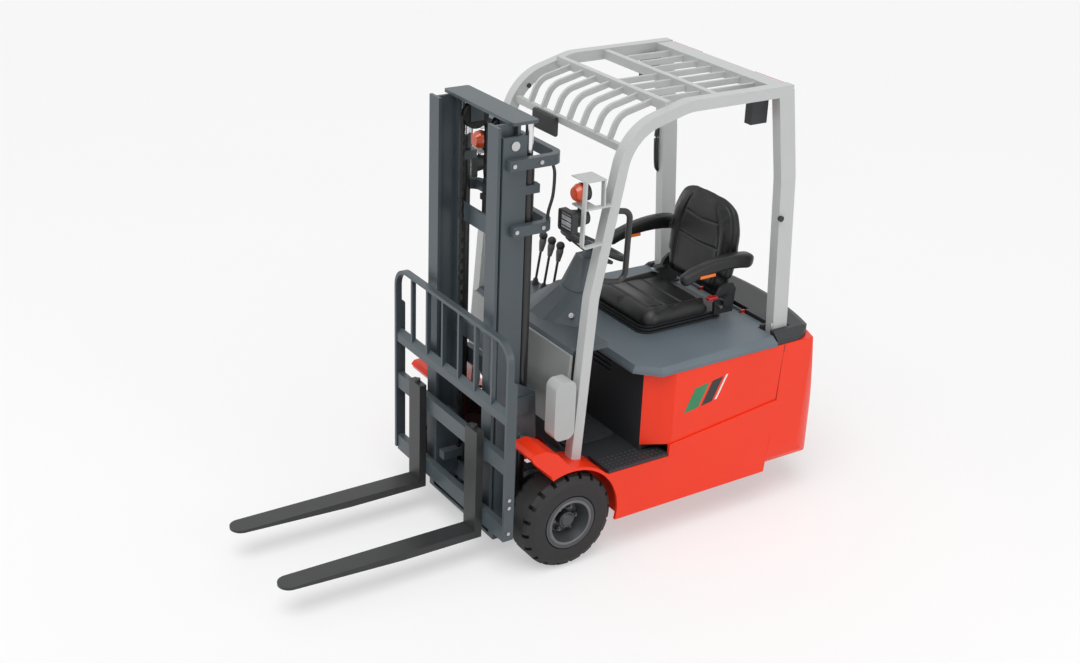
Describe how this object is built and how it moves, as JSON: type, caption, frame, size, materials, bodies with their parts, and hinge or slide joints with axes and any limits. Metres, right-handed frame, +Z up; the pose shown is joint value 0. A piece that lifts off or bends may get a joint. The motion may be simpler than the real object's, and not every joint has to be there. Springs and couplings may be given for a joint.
{
  "type": "three-wheel electric counterbalance forklift truck",
  "caption": "Three-wheel electric forklift with a tilting two-stage mast, forks, overhead guard, battery lid with seat and steered rear wheels.",
  "frame": {"origin": "bottom centre of the overall box, on the floor under the tyres", "axes": "forks point to -Y, the driver's left side is +X, +Z is up"},
  "size_m": [1.08, 2.79, 2.055],
  "materials": {
    "red_paint": "gloss",
    "slate_paint": "satin",
    "rim_paint": "satin",
    "dark_paint": "matt",
    "dark_plastic": "grained",
    "black_paint": "gloss",
    "pale_paint": "satin",
    "silver_plastic": "satin",
    "lid_paint": "satin",
    "battery_case": "matt",
    "fork_steel": "matt",
    "tyre_rubber": "matt",
    "mat_rubber": "matt",
    "rod_chrome": "polished",
    "pin_steel": "zinc",
    "chain_steel": "oiled",
    "amber_lens": "clear",
    "red_lens": "clear",
    "seat_vinyl": "grained"
  },
  "bodies": {
    "chassis": {"chassis_frame": "red_paint", "fenders": "red_paint", "front_axle": "dark_paint", "floor_plate": "dark_paint", "floor_mat": "mat_rubber", "cowl": "silver_plastic", "console": "slate_paint", "levers": "dark_plastic", "pedals": "dark_plastic", "battery_wall": "dark_paint", "battery": "battery_case", "side_panels": "red_paint", "counterweight": "red_paint", "tow_pin": "pin_steel", "rear_cover": "dark_plastic", "guard": "pale_paint", "lamp_brackets": "pale_paint", "head_lamps": "dark_plastic", "turn_lamps": "amber_lens", "tail_lamps": "dark_plastic", "light_strips": "red_lens", "view_mirror": "dark_plastic", "grab_bars": "black_paint", "charge_box": "silver_plastic"},
    "lid": {"hood": "lid_paint", "seat_base": "dark_plastic", "seat_cushion": "seat_vinyl", "seat_back": "seat_vinyl", "armrests": "seat_vinyl"},
    "steering_wheel": {"steering_wheel": "dark_plastic"},
    "wheel_left": {"rim_left": "rim_paint", "tyre_left": "tyre_rubber"},
    "wheel_right": {"rim_right": "rim_paint", "tyre_right": "tyre_rubber"},
    "steer": {"steer_yoke": "dark_paint"},
    "rear_wheels": {"rear_rims": "rim_paint", "rear_tyres": "tyre_rubber"},
    "mast_outer": {"outer_mast": "slate_paint", "lift_barrels": "black_paint", "chain_anchors": "dark_paint", "chain_back": "chain_steel"},
    "mast_inner": {"inner_mast": "slate_paint", "lift_rods": "rod_chrome", "chain_wheels": "chain_steel", "chain_front": "chain_steel"},
    "carriage": {"carriage": "slate_paint", "backrest": "slate_paint", "forks": "fork_steel"},
    "tilt_barrels": {"tilt_barrels": "dark_paint"},
    "tilt_rods": {"tilt_rods": "rod_chrome"}
  },
  "joints": [
    {"name": "wheel_left_spin", "type": "hinge", "parent": "chassis", "child": "wheel_left", "pos_m": [0.4535, -0.125, 0.228], "axis": [1, 0, 0], "continuous": true},
    {"name": "wheel_right_spin", "type": "hinge", "parent": "chassis", "child": "wheel_right", "pos_m": [-0.4535, -0.125, 0.228], "axis": [1, 0, 0], "continuous": true},
    {"name": "steer_turn", "type": "hinge", "parent": "chassis", "child": "steer", "pos_m": [0, 1.125, 0.4], "axis": [0, 0, 1], "range_deg": [-85, 85]},
    {"name": "rear_spin", "type": "hinge", "parent": "steer", "child": "rear_wheels", "pos_m": [0, 1.125, 0.187], "axis": [1, 0, 0], "continuous": true},
    {"name": "mast_tilt", "type": "hinge", "parent": "chassis", "child": "mast_outer", "pos_m": [0, -0.125, 0.228], "axis": [1, 0, 0], "range_deg": [-6, 5]},
    {"name": "mast_lift", "type": "slide", "parent": "mast_outer", "child": "mast_inner", "axis": [0, 0, 1], "range_m": [-0.038, 1.46], "deforming": ["chain_back"]},
    {"name": "carriage_lift", "type": "slide", "parent": "mast_inner", "child": "carriage", "axis": [0, 0, 1], "range_m": [-0.038, 1.46], "deforming": ["chain_front"]},
    {"name": "tilt_barrel_swing", "type": "hinge", "parent": "chassis", "child": "tilt_barrels", "pos_m": [0, 0.105, 0.33], "axis": [1, 0, 0], "range_deg": [-4.15, 3.46]},
    {"name": "tilt_rod_slide", "type": "slide", "parent": "tilt_barrels", "child": "tilt_rods", "axis": [0, -0.8247, 0.5655], "range_m": [-0.02271, 0.01896]},
    {"name": "lid_open", "type": "hinge", "parent": "chassis", "child": "lid", "pos_m": [0, 1.055, 0.872], "axis": [-1, 0, 0], "range_deg": [0, 26]},
    {"name": "steering_wheel_turn", "type": "hinge", "parent": "chassis", "child": "steering_wheel", "pos_m": [0, 0.307, 1.278], "axis": [0, 0.454, 0.891], "continuous": true}
  ],
  "couplings": [
    {"joint": "carriage_lift", "follows": "mast_lift", "ratio": 1},
    {"joint": "tilt_barrel_swing", "follows": "mast_tilt", "ratio": 0.6905},
    {"joint": "tilt_rod_slide", "follows": "mast_tilt", "m_per_rad": 0.21496}
  ]
}
